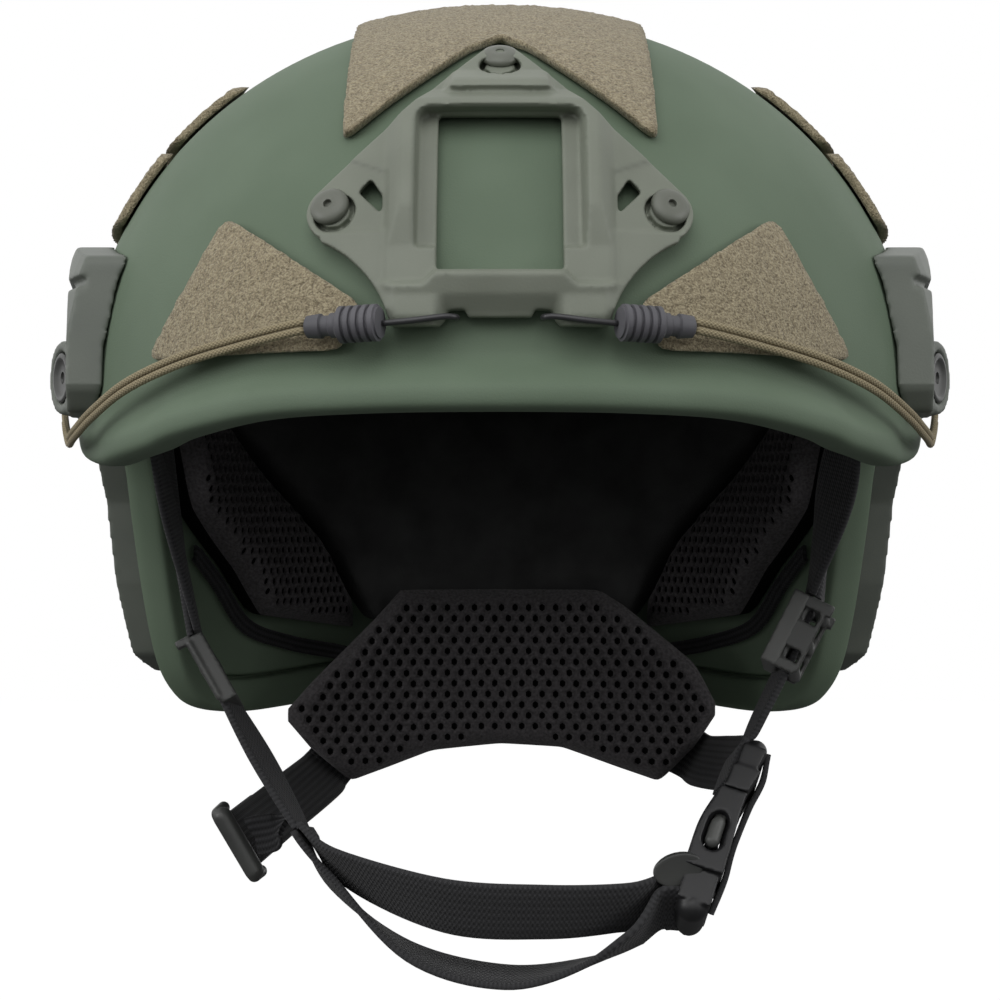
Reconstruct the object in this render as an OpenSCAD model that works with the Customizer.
// High-cut helmet with a front shroud, side rails, loop panels, pads and a four-point chin harness.
// The origin is the middle of the head space, level with the lower edge of the brim.
// The front faces -Y and up is +Z. All lengths are millimetres.

/* [Shell] */
// Width over the bare shell
shell_w = 238; // [224:1:250]
// Length of the shell without its brim
shell_l = 282; // [266:1:298]
// Height of the crown above the front edge
crown_h = 112; // [104:1:120]
// Thickness of the shell
wall = 9; // [7:0.5:11]
// How far behind the middle the shell is widest
wide_y = 35; // [25:1:45]
// How far the brim stands out at the front
brim_out = 8; // [5:0.5:10]
// Height of the brim
brim_h = 12; // [9:0.5:14]
// How far the edge hangs down behind the ears
skirt_drop = 88; // [80:1:94]
// How far the edge hangs down at the temples
temple_drop = 11; // [8:1:14]
// Extra thickness of the rolled edge
edge_bead = 1.5; // [1:0.1:2]

/* [Shroud] */
// Distance between the two side screws
shroud_screw_x = 75; // [72:1:80]
// Height of the side screws
shroud_screw_z = 45; // [43:0.5:47]
// Height of the top screw
shroud_top_z = 83; // [81:0.5:85]
// Width of the window in the shroud
window_w = 28.4; // [26:0.2:31]
// Height of the window's lower edge
window_low = 31; // [30:0.5:33]
// Height of the window's upper edge
window_high = 69; // [66:1:72]
// Thickness of the shroud's plate
shroud_plate = 5; // [4:0.5:6]
// Thickness of the shroud at its ridges
shroud_ridge = 8.5; // [7.5:0.5:10]
// Height of the shroud's lower edge
shroud_low = 18.4; // [17.4:0.2:19]
// Radius of a screw head
head_r = 4.4; // [4:0.1:5]
// Thickness of a screw head
head_t = 2.6; // [2:0.1:3]
// Radius of a screw's thread
screw_r = 2; // [1.5:0.1:2.5]

/* [Rails] */
// Thickness of a rail over the shell behind the ear
rail_t = 9.5; // [8:0.5:11]
// How far the rail's flat face lies inside the shell's half width at its front end
rail_taper = 10; // [8:0.5:12]
// Height of a rail's upper edge
rail_top = 44; // [42:1:47]
// Where a rail starts at the front
rail_front_y = -72; // [-76:1:-66]
// Lowest point of a rail behind the ear
rail_low = 72; // [66:1:76]
// Middle height of the long groove
groove_z = 23; // [21:1:26]
// Height of the long groove
groove_h = 6; // [5:0.5:7]
// Depth of the long groove
groove_d = 3.5; // [2.5:0.5:4.5]
// Radius of the round cover of a rail's front screw
boss_r = 6.7; // [6:0.1:7.2]
// Wall of the lug round that cover
boss_wall = 2.8; // [2.2:0.2:3.4]

/* [Loop panels] */
// Thickness of the loop panels
panel_t = 2.3; // [1.8:0.1:2.8]
// Half the width of the top panel
top_panel_half = 36.8; // [34:0.4:38]

/* [Bungee] */
// Thickness of one strand of the bungee
strand_d = 1.8; // [1.4:0.1:2.2]
// Diameter of the cord end's body
end_d = 8.4; // [7.6:0.2:9]
// Diameter of the cord end's neck
neck_d = 5.6; // [5:0.2:6.2]
// Thickness of the hook's wire
wire_d = 1.4; // [1:0.1:1.6]

/* [Pads] */
// Thickness of the side and rear pads
pad_t = 16; // [13:1:18]
// Thickness of the forehead and crown pads
front_pad_t = 15; // [13:1:18]
// Thickness of the nape pad
nape_t = 11; // [9:0.5:13]

/* [Harness] */
// Width of the webbing
web_w = 19; // [17:0.5:21]
// Thickness of the webbing
web_t = 1.8; // [1.5:0.1:2.1]
// Length of an adjuster
lock_l = 22; // [20:1:24]
// Thickness of an adjuster
lock_t = 9; // [8:0.5:10]
// Length of the buckle's socket
socket_l = 24; // [23:0.5:26]
// Thickness of the buckle
buckle_t = 11; // [10:0.5:12]

/* [Hidden] */
clear = 0.3;
seat_gap = 0.55;
half_w = shell_w / 2;
front_l = shell_l / 2 + wide_y;
rear_l = shell_l / 2 - wide_y;
plan_n = 2.3;
dome_n = 2.1;
skirt_draw = 0.05;
rim_steps = 2;
dome_rows = 9;
edge_grip = 16;

// The lower edge: [meridian, share of the temple's or the skirt's drop]; -90 is the front, 90 the back.
temple_edge = [[-90, 0], [-78, 0.03], [-67, 0.14], [-56, 0.5], [-50, 0.77], [-35, 1], [-24, 0.8], [-18, 0.3],
    [-9, 0]];
skirt_edge = [[2, 0], [9, 0.03], [12.5, 0.12], [14.5, 0.28], [16.5, 0.47], [18.5, 0.66], [21, 0.82],
    [25, 0.92], [30, 0.975], [40, 1], [51, 0.99], [62, 0.965], [76, 0.94], [90, 0.93]];

// Surface of the shell

function signed_pow(v, e) = sign(v) * pow(abs(v), e);
function unit(v) = v / norm(v);
function flat(rows) = [for (row = rows) for (p = row) p];
function mix(p, q, t) = p + (q - p) * t;

// Outline of the widest section, moved outwards by out
function plan(a, out = 0) = [
    (half_w + out) * signed_pow(cos(a), 2 / plan_n),
    wide_y + ((sin(a) < 0 ? front_l : rear_l) + out) * signed_pow(sin(a), 2 / plan_n)];

// How much narrower the section is at height z
function section(z, out = 0) = z < 0
    ? 1 - skirt_draw * pow(z / skirt_drop, 2)
    : pow(max(1e-9, 1 - pow(z / (crown_h + out), dome_n)), 1 / dome_n);

function skin(a, z, out = 0) = let (s = section(z, out), p = plan(a, out)) [p.x * s, p.y * s, z];

// Above 0 outside of the surface that lies out beyond the shell
function beyond(p, out) = let (s = section(p.z, out), y = p.y / s - wide_y, l = y < 0 ? front_l : rear_l)
    p.z >= crown_h + out
        ? 1
        : pow(abs(p.x / s) / (half_w + out), plan_n) + pow(abs(y) / (l + out), plan_n) - 1;

// The point where a ray from inside reaches that surface
function reach(from, way, out = 0, low = 0, high = 300, n = 30) = n == 0
    ? from + way * (low + high) / 2
    : let (half = (low + high) / 2)
        beyond(from + way * half, out) > 0
            ? reach(from, way, out, low, half, n - 1)
            : reach(from, way, out, half, high, n - 1);

function outward(p, out = 0) = let (d = 0.05) unit([
    beyond(p + [d, 0, 0], out) - beyond(p - [d, 0, 0], out),
    beyond(p + [0, d, 0], out) - beyond(p - [0, d, 0], out),
    beyond(p + [0, 0, d], out) - beyond(p - [0, 0, d], out)]);

function on_front(x, z, out = 0) = reach([x, 0, z], [0, -1, 0], out);
function on_side(side, y, z, out = 0) = reach([0, y, z], [side, 0, 0], out);

// Solids from points

// Rings joined in order, closed at both ends; each ring turns left seen from the start
module loft(rows, start, end) {
    n = len(rows[0]);
    last = len(rows) - 1;
    tail = n * len(rows);
    polyhedron(
        points = concat(flat(rows), [start, end]),
        faces = concat(
            [for (i = [0 : n - 1]) [tail, (i + 1) % n, i]],
            [for (i = [0 : n - 1]) [tail + 1, last * n + i, last * n + (i + 1) % n]],
            [for (r = [0 : last - 1]) for (i = [0 : n - 1])
                [r * n + i, r * n + (i + 1) % n, (r + 1) * n + (i + 1) % n]],
            [for (r = [0 : last - 1]) for (i = [0 : n - 1])
                [r * n + i, (r + 1) * n + (i + 1) % n, (r + 1) * n + i]]));
}

function flip(faces, turned) = turned ? [for (f = faces) [f[2], f[1], f[0]]] : faces;
function halves(a, b, c, d) = [[a, b, c], [a, c, d]];

// A sheet with thickness, between two grids of points of the same size
module slab(inner, outer) {
    rows = len(inner);
    cols = len(inner[0]);
    o = rows * cols;
    turned = cross(inner[0][1] - inner[0][0], inner[1][0] - inner[0][0]) * (outer[0][0] - inner[0][0]) < 0;
    cells = [for (r = [0 : rows - 2]) for (c = [0 : cols - 2]) r * cols + c];
    faces = concat(
        flat([for (k = cells) halves(o + k, o + k + cols, o + k + cols + 1, o + k + 1)]),
        flat([for (k = cells) halves(k, k + 1, k + cols + 1, k + cols)]),
        flat([for (r = [0 : rows - 2]) let (k = r * cols) halves(o + k + cols, o + k, k, k + cols)]),
        flat([for (r = [1 : rows - 1]) let (k = r * cols - 1) halves(o + k, o + k + cols, k + cols, k)]),
        flat([for (c = [0 : cols - 2]) halves(o + c, o + c + 1, c + 1, c)]),
        flat([for (c = [0 : cols - 2]) let (k = (rows - 1) * cols + c) halves(o + k + 1, o + k, k, k + 1)]));
    polyhedron(points = concat(flat(inner), flat(outer)), faces = flip(faces, turned));
}

// Smooth curve through points
function bend(p, q, r, s, t) = 0.5 * (2 * q + (r - p) * t + (2 * p - 5 * q + 4 * r - s) * t * t
    + (3 * q - p - 3 * r + s) * t * t * t);
function smooth(points, steps) = let (n = len(points) - 1) concat(
    [for (i = [0 : n - 1]) for (j = [0 : steps - 1])
        bend(points[max(i - 1, 0)], points[i], points[i + 1], points[min(i + 2, n)], j / steps)],
    [points[n]]);
function heading(line, i) = unit(line[min(i + 1, len(line) - 1)] - line[max(i - 1, 0)]);

// Webbing along points; across says which way its width lies at each of them
module ribbon(points, across, w = web_w, t = web_t, steps = 4) {
    line = smooth(points, steps);
    ways = smooth(across, steps);
    rows = [for (i = [0 : len(line) - 1]) let (
        h = heading(line, i),
        end = i == 0 || i == len(line) - 1,
        d = unit(end ? ways[i] : ways[i] - h * (ways[i] * h)),
        u = unit(cross(d, h))
    ) [for (k = [[1, 1], [-1, 1], [-1, -1], [1, -1]]) line[i] + d * k[0] * w / 2 + u * k[1] * t / 2]];
    loft(rows, line[0], line[len(line) - 1]);
}

// Round cord along points
module tube(line, r, sides = 8) {
    rows = [for (i = [0 : len(line) - 1]) let (
        h = heading(line, i),
        d = unit([0, 0, 1] - h * h.z),
        u = cross(d, h)
    ) [for (k = [0 : sides - 1]) line[i] + r * (d * cos(k * 360 / sides) + u * sin(k * 360 / sides))]];
    loft(rows, line[0], line[len(line) - 1]);
}

// Puts children, which stand along Z, at p with their Z along way and their Y as near up as it goes
module stand(p, way, up = [0, 0, 1]) {
    z = unit(way);
    x = unit(cross(up, z));
    y = cross(z, x);
    multmatrix([[x.x, y.x, z.x, p.x], [x.y, y.y, z.y, p.y], [x.z, y.z, z.z, p.z]]) children();
}

module front_prism() rotate([90, 0, 0]) linear_extrude(shell_l) children();
module side_prism() rotate([90, 0, 90]) linear_extrude(shell_w) children();
module both_sides() for (side = [0, 1]) mirror([side, 0, 0]) children();
module round_bar(p, q, r, sides = 20) hull() for (c = [p, q]) translate(c) circle(r, $fn = sides);

// Everything inside the surface that lies out beyond the shell
module skin_solid(out) {
    around = 72;
    heights = concat(
        [for (k = [10 : -1 : 1]) (crown_h + out) * pow(sin(k * 8.5), 2 / dome_n)],
        [0, -0.25 * skirt_drop, -0.5 * skirt_drop, -0.75 * skirt_drop, -skirt_drop, -skirt_drop - edge_grip]);
    loft([for (z = heights) [for (i = [0 : around - 1]) skin(-90 + i * 360 / around, z, out)]],
        [0, 0, crown_h + out], [0, 0, -skirt_drop - edge_grip]);
}

// Shell

rim_knots = concat(
    [[-102, -temple_edge[1][1] * temple_drop]],
    [for (k = temple_edge) [k[0], -k[1] * temple_drop]],
    [for (k = skirt_edge) [k[0], -k[1] * skirt_drop]],
    [[104, -skirt_edge[len(skirt_edge) - 2][1] * skirt_drop]]);
rim_half = concat(
    [for (i = [1 : len(rim_knots) - 3]) for (j = [0 : rim_steps - 1])
        bend(rim_knots[i - 1], rim_knots[i], rim_knots[i + 1], rim_knots[i + 2], j / rim_steps)],
    [rim_knots[len(rim_knots) - 2]]);
rim = concat(rim_half, [for (i = [len(rim_half) - 2 : -1 : 1]) [180 - rim_half[i][0], rim_half[i][1]]]);
rim_count = len(rim);

function mm_per_degree(a) = norm(plan(a + 1) - plan(a - 1)) / 2;

// Meridian and height of the point h inside the edge, square to it
function inside_edge(i, h) = let (
    p = rim[i],
    next = rim[(i + 1) % rim_count] + (i + 1 < rim_count ? [0, 0] : [360, 0]),
    back = rim[(i + rim_count - 1) % rim_count] - (i > 0 ? [0, 0] : [360, 0]),
    along = unit([(next[0] - back[0]) * mm_per_degree(p[0]), next[1] - back[1]])
) [p[0] - h * along[1] / mm_per_degree(p[0]), p[1] + h * along[0]];

// 1 along the front, 0 from the temples back
function brim_share(a) = let (t = max(0, min(1, (-sin(a) - 0.5) / 0.35))) t * t * (3 - 2 * t);
brim_band = 5;
function brim_at(h) = h <= brim_band ? 1 : max(0, (brim_h - h) / (brim_h - brim_band));
function flare(a, h) = brim_out * brim_share(a) * brim_at(h);

// A ring of the shell near its edge: h inside the edge, depth below the outer face
function edge_row(h, depth) = [for (i = [0 : rim_count - 1]) let (
    p = inside_edge(i, h)
) skin(p[0], p[1], flare(rim[i][0], max(h, 0)) - depth)];

// A ring of the dome, as a share of the way from the edge's band to the crown
function dome_row(share, depth) = [for (i = [0 : rim_count - 1]) let (
    p = inside_edge(i, edge_grip),
    c = crown_h - depth,
    start = p[1] < 0 ? asin(p[1] / c) : asin(pow(p[1] / c, dome_n / 2)),
    up = start + (90 - start) * share,
    a = p[0] + (-90 + 360 * i / rim_count - p[0]) * share,
    z = up < 0 ? c * sin(up) : c * pow(sin(up), 2 / dome_n),
    s = up < 0 ? section(z, -depth) : pow(max(cos(up), 0), 2 / dome_n),
    q = plan(a, -depth)
) [q.x * s, q.y * s, z]];

module screw_hole(p, way, depth) stand(p, way) hull() {
    translate([0, 0, -depth - 6]) cylinder(r = screw_r + clear, h = 1, $fn = 24);
    translate([0, 0, 6]) cylinder(r = screw_r + clear, h = 1, $fn = 24);
}

module nut_seat(p, way, depth) stand(p, way) hull() {
    translate([0, 0, -depth - 6]) cylinder(r = head_r + clear, h = 1, $fn = 24);
    translate([0, 0, -depth + 1]) cylinder(r = head_r + clear, h = 1, $fn = 24);
}

function shroud_points() = [
    on_front(-shroud_screw_x / 2, shroud_screw_z),
    on_front(shroud_screw_x / 2, shroud_screw_z),
    on_front(0, shroud_top_z)];
rail_screws_yz = [[-46, 12.5], [49, 15.5], [94, -32]];
function rail_point(side, k, out = 0) = on_side(side, rail_screws_yz[k][0], rail_screws_yz[k][1], out);
screw_points = concat(shroud_points(), [for (side = [-1, 1]) for (k = [0 : 2]) rail_point(side, k)]);

module shell() color("#62705f") {
    outer = concat(
        [for (k = [dome_rows : -1 : 1]) dome_row(k / (dome_rows + 1), 0)],
        [for (h = [edge_grip, brim_h, mix(brim_band, brim_h, 0.5), brim_band, 2]) edge_row(h, 0)]);
    thick = wall + edge_bead;
    lip = [
        for (p = [[0.4, 0.8], [-0.6, thick / 3], [-0.6, 2 * thick / 3], [0.4, thick]]) edge_row(p[0], p[1])];
    inner = concat(
        [edge_row(brim_band, thick), edge_row(brim_h, wall), edge_row(edge_grip, wall)],
        [for (k = [1 : dome_rows]) dome_row(k / (dome_rows + 1), wall)]);
    difference() {
        loft(concat(outer, lip, inner), [0, 0, crown_h], [0, 0, crown_h - wall]);
        for (p = screw_points) {
            screw_hole(p, outward(p), wall);
            nut_seat(p, outward(p), wall);
        }
    }
}

// Shroud

lobe_r = 6.6;
ridge_x = window_w / 2 + 6.8;
ledge_w = 4.8;
// Each wing's lower edge is a hollow curve from its lobe to the foot of the plate
wing_curve_r = 28.5;
wing_curve_at = [shroud_screw_x / 2 + 14.5, shroud_low - 6.3];
module shroud_outline() {
    for (side = [-1, 1]) {
        round_bar([0, shroud_top_z - 0.5], [side * shroud_screw_x / 2, shroud_screw_z], lobe_r);
        difference() {
            polygon([for (p = [[0, shroud_top_z - 6], [shroud_screw_x / 2, shroud_screw_z + 0.5],
                [shroud_screw_x / 2 + 3, shroud_screw_z], [shroud_screw_x / 2 + 3, shroud_low],
                [0, shroud_low]]) [side * p.x, p.y]]);
            translate([side * wing_curve_at.x, wing_curve_at.y]) circle(wing_curve_r, $fn = 72);
        }
    }
}

module shroud_raised() {
    bar_low = shroud_low + 7;
    for (side = [-1, 1]) {
        round_bar([side * ridge_x, window_low + 4], [side * ridge_x, window_high], 1.5);
        round_bar([side * (ridge_x - 3.5), window_low + 1], [side * ridge_x, window_low + 3], 3.4);
    }
    round_bar([-ridge_x + 2, bar_low], [ridge_x - 2, bar_low], 4.2);
    round_bar([-8.5, shroud_top_z - 6.6], [8.5, shroud_top_z - 6.6], 2.6);
}

module screw_pocket(p, out) stand(p, outward(p)) {
    translate([0, 0, out]) cylinder(r = head_r + clear, h = 20, $fn = 48);
    translate([0, 0, -3]) cylinder(r = screw_r + clear, h = 20, $fn = 24);
}
pocket_floor = shroud_plate - 1.8;
hook_x = 9.6;
hook_z = shroud_low + 1.9;

module shroud() color("#767a6c") difference() {
    union() {
        intersection() {
            front_prism() shroud_outline();
            skin_solid(shroud_plate);
        }
        intersection() {
            front_prism() shroud_raised();
            skin_solid(shroud_ridge);
        }
    }
    skin_solid(seat_gap);
    front_prism() translate([-window_w / 2, window_low]) square([window_w, window_high - window_low]);
    difference() {
        front_prism() translate([-window_w / 2 - ledge_w, window_low + 5])
            square([window_w + 2 * ledge_w, window_high - window_low - 4]);
        skin_solid(shroud_plate - 1.6);
    }
    difference() {
        front_prism() translate([-12.3, shroud_low + 3.7]) square([24.6, 4.2]);
        skin_solid(shroud_ridge - 3);
    }
    front_prism() for (side = [-1, 1]) {
        polygon([for (p = [[26.6, -0.6], [26.6, 3.9], [29.3, 8.1], [32.1, 4.8]])
            [side * p.x, p.y + shroud_screw_z]]);
        translate([side * hook_x - 2, hook_z - 1.3]) square([4, 2.6]);
    }
    difference() {
        front_prism() for (side = [-1, 1]) polygon([
            for (p = [[-12.3, -5], [-12.3, 9.7], [-4, 12.8], [7, 3], [7, -5]])
                [side * (shroud_screw_x / 2 + p.x), shroud_screw_z + p.y]]);
        skin_solid(shroud_plate - 1);
    }
    for (p = shroud_points()) screw_pocket(p, pocket_floor);
}

module screw(p, way, seat, depth) stand(p, way) {
    difference() {
        translate([0, 0, seat]) cylinder(r = head_r, h = head_t, $fn = 48);
        translate([0, 0, seat + head_t - 1.6]) cylinder(r = head_r * 0.5, h = 3, $fn = 6);
    }
    translate([0, 0, -depth]) cylinder(r = screw_r, h = depth + seat, $fn = 32);
}

module shroud_screws() color("#5c5f57")
    for (p = shroud_points()) screw(p, outward(p), pocket_floor + 0.1, wall - 2);

// Rails

// The rail's outline by y and z: along the upper edge to the back, down the drop arm and forwards again
rail_edge = [[rail_front_y, 9], [rail_front_y + 4, rail_top - 5], [-40, rail_top], [0, rail_top + 2],
    [45, rail_top + 1], [80, rail_top - 7], [101, 20], [109, -8], [109, -42], [101, -rail_low + 6],
    [92, -rail_low], [84, -rail_low + 5], [79, -46], [76, -20], [66, 2], [40, 7], [0, 6], [-30, 5],
    [-50, 4.5], [rail_front_y + 3, 5]];
rail_round = 3;
boss_way = unit([0.88, -0.47, 0]);
boss_face = [half_w - 5.5, -56, 11.5];
boss_deep = 2.2;

module rail_outline() {
    n = len(rail_edge);
    for (i = [0 : n - 1]) round_bar(rail_edge[i], rail_edge[(i + 1) % n], rail_round, 12);
    polygon(rail_edge);
}

// The rail's outer face is flat from its front end to behind the ear
module rail_body(depth) intersection() {
    skin_solid(rail_t - depth);
    translate([0, 0, -skirt_drop]) linear_extrude(crown_h + skirt_drop) polygon([
        for (p = [[-half_w, -shell_l], [-20, -shell_l], [-rail_taper, rail_front_y], [rail_t, 60],
            [rail_t + 8, shell_l], [-half_w, shell_l]]) [half_w + p.x - depth, p.y]]);
}

module groove(z, h, depth, y0, y1) difference() {
    side_prism() translate([y0, z - h / 2]) square([y1 - y0, h]);
    rail_body(depth);
}

module rail() {
    front = rail_point(1, 0);
    difference() {
        union() {
            intersection() {
                side_prism() rail_outline();
                rail_body(0);
            }
            stand(boss_face - boss_way * 12, boss_way) cylinder(r = boss_r + boss_wall, h = 12, $fn = 40);
        }
        skin_solid(seat_gap);
        groove(groove_z, groove_h, groove_d, rail_front_y + 12, 70);
        groove(groove_z + 12, 2.6, 2, rail_front_y - 10, 70);
        groove(groove_z - 9, 2.4, 1.6, -36, 60);
        stand(boss_face, boss_way) translate([0, 0, -boss_deep]) cylinder(r = boss_r, h = 20, $fn = 40);
        stand(front, outward(front)) translate([0, 0, -3]) cylinder(r = screw_r + clear, h = 20, $fn = 24);
        for (k = [1, 2]) screw_pocket(rail_point(1, k), rail_seat(k));
    }
}
function rail_seat(k) = rail_t - (k == 1 ? 4.6 : 3);
module rail_right() color("#60645d") rail();
module rail_left() color("#60645d") mirror([1, 0, 0]) rail();

module rail_screws() color("#4a4c48") both_sides() {
    front = rail_point(1, 0);
    stand(boss_face - boss_way * (boss_deep - 0.1), boss_way) difference() {
        cylinder(r = boss_r - clear, h = boss_deep, $fn = 40);
        translate([0, 0, boss_deep - 0.7]) difference() {
            cylinder(r = boss_r + 1, h = 2, $fn = 40);
            cylinder(r = boss_r - 2, h = 4, center = true, $fn = 40);
        }
    }
    stand(front, outward(front)) translate([0, 0, -wall + 2]) cylinder(r = screw_r, h = wall + 1, $fn = 32);
    for (k = [1, 2]) let (p = rail_point(1, k)) screw(p, outward(p), rail_seat(k) + 0.1, wall - 2);
}

// Loop panels

panel_low = seat_gap + 0.1;
panel_high = panel_low + panel_t;
// A four-cornered panel on the front, its corners given by x and z
module front_panel(c, nu, nv) {
    g = [for (r = [0 : nv]) [for (k = [0 : nu])
        mix(mix(c[0], c[1], k / nu), mix(c[3], c[2], k / nu), r / nv)]];
    slab([for (row = g) [for (p = row) on_front(p[0], p[1], panel_low)]],
        [for (row = g) [for (p = row) on_front(p[0], p[1], panel_high)]]);
}

front_panel_corners = [[84, 13], [36, 13.5], [31.5, 24], [64.5, 46.5]];
module panel_front_right() color("#8d8169") front_panel(front_panel_corners, 7, 4);
module panel_front_left() color("#8d8169") mirror([1, 0, 0]) front_panel(front_panel_corners, 7, 4);

// The top panel runs back over the crown; its lower edge follows the shroud
top_panel_edge = [[0, shroud_top_z + 9], [7, shroud_top_z + 5.5], [13.5, shroud_top_z],
    [top_panel_half - 1.5, 66], [top_panel_half, 64.5]];
top_panel_back = 97;
function top_edge(x) = lookup(abs(x), top_panel_edge);
function tilt_at(x, z) = let (p = on_front(x, z)) atan2(p.z, -p.y);
function over_top(x, tilt, out) = reach([x, 0, 0], [0, -cos(tilt), sin(tilt)], out);
module panel_top() {
    n = 10;
    rows = 12;
    xs = [for (k = [-n / 2 : n / 2]) let (t = k * 2 / n) top_panel_half * t];
    starts = [for (x = xs) tilt_at(x, top_edge(x))];
    function sheet(out) = [for (r = [0 : rows]) [for (k = [0 : n])
        over_top(xs[k], mix(starts[k], top_panel_back, r / rows), out)]];
    color("#968b73") slab(sheet(panel_low), sheet(panel_high));
}

// A panel on the side, between two heights and two places along Y
module side_panel(y0, y1, z0, z1, nu = 5, nv = 3) {
    function sheet(out) = [for (r = [0 : nv]) [for (k = [0 : nu])
        on_side(1, mix(y0, y1, k / nu), mix(z0, z1, r / nv), out)]];
    slab(sheet(panel_low), sheet(panel_high));
}
module upper_panel() side_panel(-34, 24, crown_h - 37, crown_h - 21);
module lower_panel() side_panel(-42, 38, crown_h - 59, crown_h - 40, 6, 3);
module panel_upper_right() color("#857b66") upper_panel();
module panel_upper_left() color("#857b66") mirror([1, 0, 0]) upper_panel();
module panel_side_right() color("#857b66") lower_panel();
module panel_side_left() color("#857b66") mirror([1, 0, 0]) lower_panel();

// Bungee, from the rail to the cord end, over the front panel

cord_out = panel_high + strand_d + 0.3;
cord_xz = [[107, -3.5], [100, 1], [89, 7], [75, 12], [60, 15.6]];
cord_back = [[-38, 1.5], [-44, -1.5], [-52, -4.6]];
end_out = panel_high + end_d / 2 + 0.3;
end_start = on_front(43, 18.4, end_out);
end_middle = on_front(35.3, 18.7, end_out);
end_stop = on_front(26, 18.9, end_out);
end_way = unit(end_middle - end_start);
cord_line = smooth(concat(
    [for (p = cord_back) on_side(1, p[0], p[1], 3.6)],
    [for (k = [0 : len(cord_xz) - 1])
        on_front(cord_xz[k][0], cord_xz[k][1], k < 3 ? cord_out + 0.8 : cord_out)],
    [end_start - end_way * 3, end_start - end_way * 0.8]), 2);

module bungee() for (k = [-1, 1])
    tube([for (p = cord_line) p + k * (strand_d / 2 + 0.06) * [0, 0, 1]], strand_d / 2);
module bungee_right() color("#8b7f66") bungee();
module bungee_left() color("#8b7f66") mirror([1, 0, 0]) bungee();

module bungee_end() {
    stand(end_start, end_way) cylinder(d = neck_d, h = norm(end_middle - end_start) + 1, $fn = 32);
    stand(end_middle, end_stop - end_middle) cylinder(d = end_d, h = norm(end_stop - end_middle), $fn = 40);
}
module bungee_end_right() color("#4c4b50") bungee_end();
module bungee_end_left() color("#4c4b50") mirror([1, 0, 0]) bungee_end();

// The wire hook runs from the cord end along the shroud's edge and turns into its hole
function hook_line() = let (
    face = on_front(hook_x, hook_z, shroud_plate + wire_d + 0.2),
    start = end_stop + unit(end_stop - end_middle) * 0.2
) smooth([start, mix(start, face, 0.4) + [0, -0.9, 0], face + [3, -0.4, 0], face + [0.6, 0.3, 0],
    face + [0, 2, 0], face + [0, 3.4, 0]], 2);
module bungee_hook() tube(hook_line(), wire_d / 2, 6);
module bungee_hook_right() color("#3c3c3e") bungee_hook();
module bungee_hook_left() color("#3c3c3e") mirror([1, 0, 0]) bungee_hook();

// Pads

pad_gap = 0.95;
// How far a cushion swells at u, v, each from 0 to 1
function swell(u, v) = 0.45 + 0.55 * pow(max(0, (1 - pow(2 * u - 1, 4)) * (1 - pow(2 * v - 1, 4))), 0.5);
module inner_pad(a0, a1, low, high, t, nu, nv, side = 1) {
    function sheet(swells) = [for (r = [0 : nv]) [for (k = [0 : nu]) let (
        a = mix(a0, a1, k / nu),
        z = mix(lookup(a, low), lookup(a, high), r / nv),
        p = skin(a, z, -wall - pad_gap - swells * t * swell(k / nu, r / nv))
    ) [side * p.x, p.y, p.z]]];
    slab(sheet(0), sheet(1));
}

// A side pad slants down towards the back; its lower edge keeps clear of the rolled edge
side_from = 13.5;
side_to = 64;
side_low = [[side_from, 8], [16, -1], [18.5, -11], [21, -22], [28, -32], [35, -42], [42, -57],
    [side_to, -62]];
side_high = [[side_from, 28], [20, 19], [30, 5], [48, -19], [56, -31], [60, -42], [side_to, -53]];
module pad_side_right() color("#242526") inner_pad(side_from, side_to, side_low, side_high, pad_t, 12, 7);
module pad_side_left() color("#242526") inner_pad(side_from, side_to, side_low, side_high, pad_t, 12, 7, -1);

// The rear pad lies along the side pads' upper edges and fills the back between them
rear_gap = 3.5;
rear_from = 31;
rear_half = concat([for (p = side_high) if (p[0] > rear_from) [p[0], p[1] + rear_gap]], [[side_to + 4, -60]]);
rear_low = concat([[rear_from, 5 + rear_gap]], rear_half,
    [for (i = [len(rear_half) - 1 : -1 : 0]) [180 - rear_half[i][0], rear_half[i][1]]],
    [[180 - rear_from, 5 + rear_gap]]);
rear_high = [[rear_from, 16], [90, 12], [180 - rear_from, 16]];
module pad_rear() color("#19191a") inner_pad(rear_from, 180 - rear_from, rear_low, rear_high, pad_t, 20, 6);

front_low = [[-140, 4], [-40, 4]];
front_high = [[-140, 44], [-40, 44]];
module pad_front() color("#242526") inner_pad(-137, -43, front_low, front_high, front_pad_t, 12, 5);

crown_pad_half = 45;
module pad_crown() {
    n = 10;
    function sheet(swells) = [for (r = [0 : n]) [for (k = [0 : n]) let (
        x = crown_pad_half * (2 * k / n - 1),
        y = crown_pad_half * (2 * r / n - 1),
        q = [x * sqrt(1 - pow(2 * r / n - 1, 2) / 2), y * sqrt(1 - pow(2 * k / n - 1, 2) / 2)]
    ) reach([q.x, q.y, 0], [0, 0, 1], -wall - pad_gap - swells * front_pad_t * swell(k / n, r / n))]];
    color("#242526") slab(sheet(0), sheet(1));
}

// Harness

// Straps start inside the shell behind the rail screws
anchor_t = 2;
function anchor(side, k) = rail_point(side, k, -wall - 0.9);
module strap_anchors() color("#3a3a3c") for (side = [-1, 1]) for (k = [0, 1]) {
    p = anchor(side, k);
    stand(p, -outward(p)) cylinder(r = 6, h = anchor_t, $fn = 32);
}

lock_top_left = [-(half_w - 33.3), 0, -60];
lock_top_right = [half_w - 30.2, 0, -49];
join_left = [-55, -12, -111];
join_right = [67.5, -5, -89.5];
lock_way_left = unit(join_left - lock_top_left);
lock_way_right = unit(join_right - lock_top_right);
// Width direction of the straps at the adjusters: as near Y as the strap lets it
function wide_way(way) = unit([0, 1, 0] - way * way.y);

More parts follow.
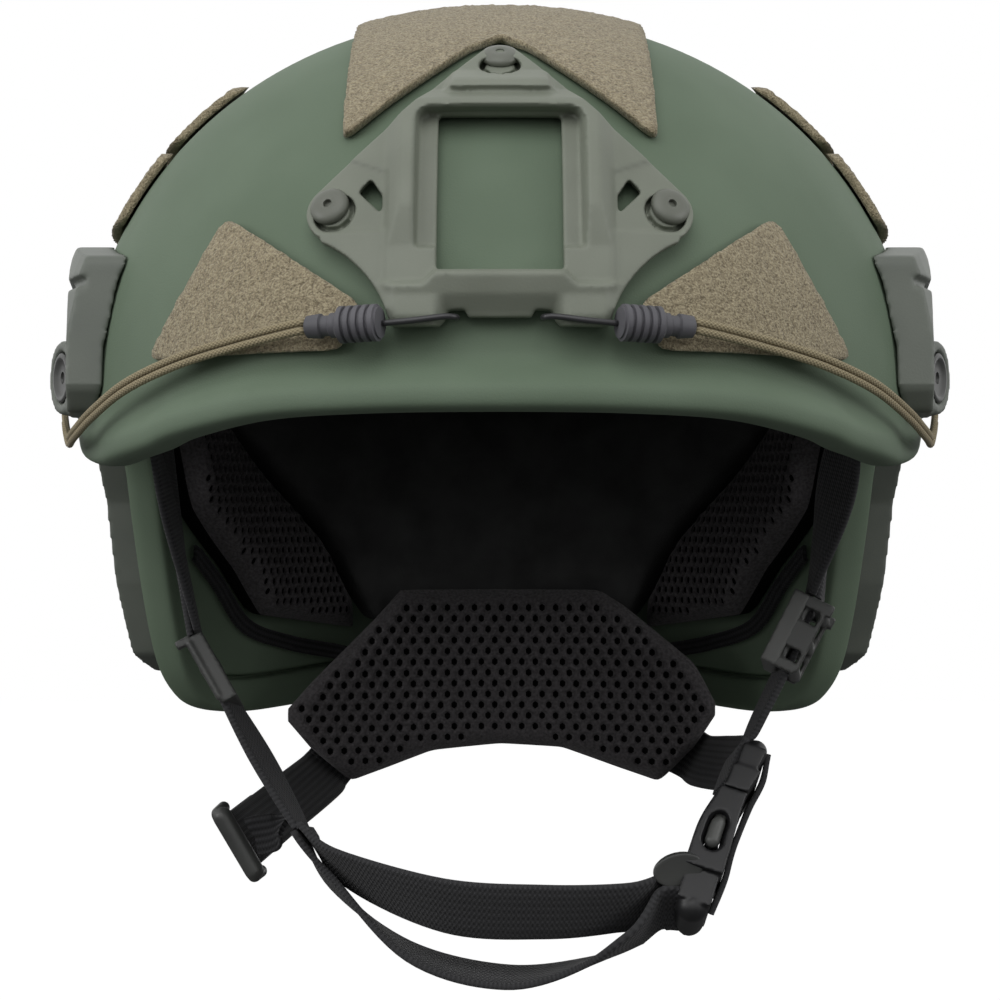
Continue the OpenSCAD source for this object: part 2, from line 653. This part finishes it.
function strap_start(side, k) = let (p = anchor(side, k)) p - outward(p) * (anchor_t + web_t / 2 + clear);
function along_shell(side, p) = let (o = outward(p)) side * unit([-o.y, o.x, 0]);
// A side strap runs on towards the adjuster and is cut square just above it
module side_strap(side, k, top, way, lean, turn = [0, 1, 0]) difference() {
    start = strap_start(side, k);
    e = top + cross(wide_way(way), way) * side * lean;
    ribbon([start, mix(start, e, 0.4), mix(start, e, 0.8), e + (e - start) * 0.12],
        [along_shell(side, anchor(side, k)), turn, mix(turn, [0, 1, 0], 0.5), [0, 1, 0]], steps = 3);
    stand(top - way * 0.4, way, [0, 1, 0]) translate([0, 0, web_w]) cube(2 * web_w, center = true);
}
module strap_front_left() color("#2b2b2d") side_strap(-1, 0, lock_top_left, lock_way_left, 1.4);
module strap_front_right() color("#2b2b2d")
    side_strap(1, 0, lock_top_right, lock_way_right, 2.4, [-0.35, 1, 0]);
module strap_rear_left() color("#2b2b2d") side_strap(-1, 1, lock_top_left, lock_way_left, -1.4);
module strap_rear_right() color("#2b2b2d") side_strap(1, 1, lock_top_right, lock_way_right, -1.6);

// Adjuster: a cam lock on the strap, drawn with the strap along Z and its width along Y
module lock_body() {
    lock_w = web_w + 6;
    difference() {
        union() {
            translate([0, 0, lock_l / 2]) cube([lock_t, lock_w, lock_l], center = true);
            translate([0, 0, lock_l * 0.4]) rotate([90, 0, 0])
                cylinder(d = lock_t + 3, h = lock_w - 5, center = true, $fn = 40);
        }
        translate([0, 0, lock_l / 2]) cube([web_t + 2 * clear, web_w + 2 * clear, 2 * lock_l], center = true);
        for (z = [lock_l * 0.72, lock_l * 0.86])
            translate([lock_t / 2, 0, z]) cube([1.6, lock_w - 6, 1.4], center = true);
    }
}
module adjuster_left() color("#3b3b3c")
    stand(lock_top_left + lock_way_left * 0.2, lock_way_left, [0, 1, 0]) lock_body();
module adjuster_right() color("#4e4f4d")
    stand(lock_top_right + lock_way_right * 0.2, lock_way_right, [0, 1, 0]) lock_body();

module strap_lower_left() color("#2b2b2d") ribbon([lock_top_left, join_left],
    [wide_way(lock_way_left), wide_way(lock_way_left)], steps = 6);
module strap_lower_right() {
    e = join_right - buckle_way * 0.5;
    w = wide_way(lock_way_right);
    color("#2b2b2d") ribbon([lock_top_right, mix(lock_top_right, e, 0.4), mix(lock_top_right, e, 0.8), e],
        [w, w, w, wide_way(buckle_way)], steps = 2);
}

// Buckle, drawn with its length along Z, its width along Y and its top at the origin

buckle_end = [54, -22, -125.5];
buckle_way = unit(buckle_end - join_right);
plug_l = 16;
buckle_w = web_w + 7;
arm_w = 3;
arm_l = 16;
slot_t = 4.4;
module at_buckle(z = 0) stand(join_right + buckle_way * z, buckle_way, [0, 1, 0]) children();
module buckle_plug() color("#3a3a3b") at_buckle() difference() {
    union() {
        translate([0, 0, plug_l / 2]) cube([buckle_t, buckle_w, plug_l], center = true);
        translate([0, 0, plug_l + 8]) cube([slot_t - 2 * clear, 7, 16], center = true);
    }
    translate([0, 0, 4.6]) cube([3, web_w + 1, 4], center = true);
    translate([buckle_t / 2 - 1, 0, 4.6]) cube([4, web_w + 1, 3.4], center = true);
}
module buckle_arms() color("#444446") at_buckle() for (side = [-1, 1])
    translate([0, side * (buckle_w / 2 - 4), plug_l + 0.1]) {
        translate([0, 0, arm_l / 2]) cube([slot_t - 2 * clear, arm_w, arm_l], center = true);
        translate([0, side * 1.7, arm_l - 5]) cube([slot_t - 2 * clear, 3.4, 8], center = true);
    }
// The socket's tail has a slot on its inner side, where the chin straps end
tail_l = 14;
socket_end = plug_l + clear + socket_l;
tail_slot = join_right + buckle_way * (socket_end + tail_l / 2) + [-2, 0, 0];
tail_across = unit([0, 0.7, -0.72]);
tail_normal = [0, -tail_across.z, tail_across.y];
module buckle_socket() color("#3a3a3b") difference() {
    at_buckle() difference() {
        union() {
            translate([0, 0, socket_end - socket_l / 2]) cube([buckle_t, buckle_w, socket_l], center = true);
            translate([0, 0, socket_end + tail_l / 2 - 0.5])
                cube([buckle_t - 1.5, web_w + 3, tail_l + 1], center = true);
            translate([buckle_t - 1, 4 - buckle_w / 2, socket_end - 1])
                cube([buckle_t + 2, 5, 8], center = true);
        }
        translate([0, 0, plug_l + 9.5]) cube([slot_t, buckle_w - 4, 19.4], center = true);
        translate([0, 0, plug_l + 12]) cube([slot_t + 1, buckle_w + 2, 10], center = true);
    }
    stand(tail_slot - [5, 0, 0], [1, 0, 0], tail_across)
        cube([2 * web_t + 9 * clear, web_w + 4 * clear, 12], center = true);
}

// Two chin straps lead from the left junction to the slot in the tail, side by side there
function strap_end(k, before) =
    tail_slot + tail_normal * k * (web_t / 2 + clear + before / 12) - [before, 0, 0];
module chin_strap_upper() color("#2f2f30") ribbon(
    [join_left + [1.13, -0.1, 0.11], [-44, -19, -120.6], [-15.2, -33, -128.7], [12.2, -34, -130.3],
        [33.4, -30, -129.8], strap_end(1, 7), strap_end(1, 1)],
    [wide_way(lock_way_left), [0, 0.8, -0.55], [0, 0.55, -0.83], [0, 0.55, -0.83], [0, 0.65, -0.75],
        tail_across, tail_across], steps = 3);
module chin_strap_lower() color("#2f2f30") ribbon(
    [join_left + [-0.63, -0.1, -0.95], [-46.2, -13.4, -125.8], [-24, -19, -144], [2, -20, -150.5],
        [24, -23, -146], [36, -28.5, -138.5], strap_end(-1, 7), strap_end(-1, 1)],
    [wide_way(lock_way_left), [0, 0.9, -0.35], [0, 1, 0.05], [0, 1, 0.1], [0, 1, -0.15], [0, 0.88, -0.45],
        tail_across, tail_across], steps = 3);
// The keeper bows out behind the buckle
keeper_side = [-buckle_way.z, 0, buckle_way.x];
keeper_bow = [[1, 7.4], [12, 8.8], [24, 9.2], [37, 8.2], [socket_end + tail_l / 2, 6.3]];
module strap_keeper() color("#29292b") ribbon(
    [for (p = keeper_bow) join_right + buckle_way * p[0] + keeper_side * p[1] + [0, 2, 0]],
    [for (p = keeper_bow) [0, 1, 0]], w = 12, t = 1.6, steps = 3);

// Nape

nape_top = [[-67, -86], [-60, -78], [-40, -58], [-32, -49], [32, -49], [40, -54], [62, -72], [68, -84]];
nape_bottom = [[-67, -90], [-60, -99], [-48, -110], [-36, -106], [-22, -101], [0, -99], [20, -100],
    [38, -106], [51, -110], [62, -98], [68, -88]];
function nape_y(x) = 104 - 20 * pow(x / 67, 2);
module nape_pad() {
    nu = 14;
    nv = 6;
    function sheet(swells) = [for (r = [0 : nv]) [for (k = [0 : nu]) let (
        x = mix(-67, 68, k / nu),
        z = mix(lookup(x, nape_bottom), lookup(x, nape_top), r / nv)
    ) [x, nape_y(x) - swells * nape_t * swell(k / nu, r / nv), z]]];
    color("#242526") slab(sheet(0), sheet(1));
}
nape_plate_low = [[0, -96], [30, -97], [38, -105], [46, -106], [52, -100.5]];
nape_plate_t = 2.5;
nape_layer = 1.2;
module nape_plate() {
    nu = 12;
    function sheet(out) = [for (r = [0 : 2]) [for (k = [0 : nu]) let (
        x = mix(-52, 52, k / nu) * (1 - 0.3 * r / 2)
    ) [x, nape_y(x) + nape_layer + out, mix(lookup(abs(x), nape_plate_low), -56, r / 2)]]];
    color("#1d1d1f") slab(sheet(0), sheet(nape_plate_t));
}

// A nape strap leaves the plate's layer and turns forwards round the pad's slanted edge
nape_w = 17;
nape_edges = [[-54, -104.5], [59.8, -100.7]];
nape_ways = [[-0.68, -0.74], [0.91, -0.41]];
function at_nape_edge(k, s, out) = let (q = nape_edges[k] + nape_ways[k] * s)
    [q[0], nape_y(q[0]) + out, q[1]];
function nape_bend(k) = [
    at_nape_edge(k, -3.4, nape_layer + nape_plate_t / 2),
    at_nape_edge(k, 1.6, 1.9),
    at_nape_edge(k, 4.6, -5)];
nape_ring_at = [-72.7, -3, -115.7];
nape_strap_way = unit(nape_ring_at - nape_bend(0)[2]);
nape_across = [0.5, -0.05, -0.86];
module nape_strap_left() color("#202022") ribbon(
    concat(nape_bend(0), [for (s = [-50, -22, 7]) nape_ring_at + nape_strap_way * s]),
    [[0.74, 0.36, -0.68], [0.74, 0.36, -0.68], [0.74, 0.2, -0.68], nape_across, nape_across, nape_across],
    w = nape_w, steps = 3);
module nape_strap_right() color("#202022") ribbon(
    concat(nape_bend(1), [[69, 50, -100], [70.5, 11.5, -96]]),
    [[0.41, -0.22, 0.91], [0.41, -0.22, 0.91], [0.41, -0.1, 0.91], [0.1, 0, 1], [0, 0, 1]],
    w = nape_w, steps = 3);
ring_t = 5.5;
module nape_ring() color("#3a3a3b") stand(nape_ring_at, nape_strap_way, nape_across) difference() {
    cube([ring_t, nape_w + 5, 12], center = true);
    cube([web_t + 2 * clear, nape_w + 2 * clear, 20], center = true);
    for (side = [-1, 1]) translate([side * ring_t / 2, 0, 0]) cube([1.5, nape_w + 1, 6], center = true);
}
module strap_link() color("#2b2b2d") ribbon(
    [nape_ring_at + [4.1, -4.6, 2.2], nape_ring_at + [10, -7, 3.4], join_left + [-4.8, 0.6, 0.9]],
    [[0, 0.3, 1], [0, 0.6, 1], [0.3, 0.9, 0.5]], w = 9, t = 1.4, steps = 3);

// Bands from the pads to the nape plate
band_t = 1.6;
band_w = 5;
function band_point(side, a, z) = let (p = skin(a, z, -wall - 1.5 - band_t / 2)) [side * p.x, p.y, z];
module band(side) ribbon(
    [band_point(side, 27, -36.8), band_point(side, 34, -47.2), band_point(side, 41, -60.8),
        band_point(side, 52, -67), [side * 50, 112, -71],
        [side * 37, nape_y(37) + nape_layer + nape_plate_t + clear + band_t / 2, -77]],
    [for (k = [0 : 5]) [0, 0, 1]], w = band_w, t = band_t, steps = 3);
module band_left() color("#232325") band(-1);
module band_right() color("#232325") band(1);

shell();
shroud();
shroud_screws();
rail_left();
rail_right();
rail_screws();
panel_top();
panel_front_left();
panel_front_right();
panel_upper_left();
panel_upper_right();
panel_side_left();
panel_side_right();
bungee_left();
bungee_right();
bungee_end_left();
bungee_end_right();
bungee_hook_left();
bungee_hook_right();
pad_front();
pad_crown();
pad_side_left();
pad_side_right();
pad_rear();
strap_anchors();
strap_front_left();
strap_front_right();
strap_rear_left();
strap_rear_right();
adjuster_left();
adjuster_right();
strap_lower_left();
strap_lower_right();
chin_strap_upper();
chin_strap_lower();
buckle_plug();
buckle_arms();
buckle_socket();
strap_keeper();
nape_pad();
nape_plate();
nape_strap_left();
nape_strap_right();
nape_ring();
strap_link();
band_left();
band_right();
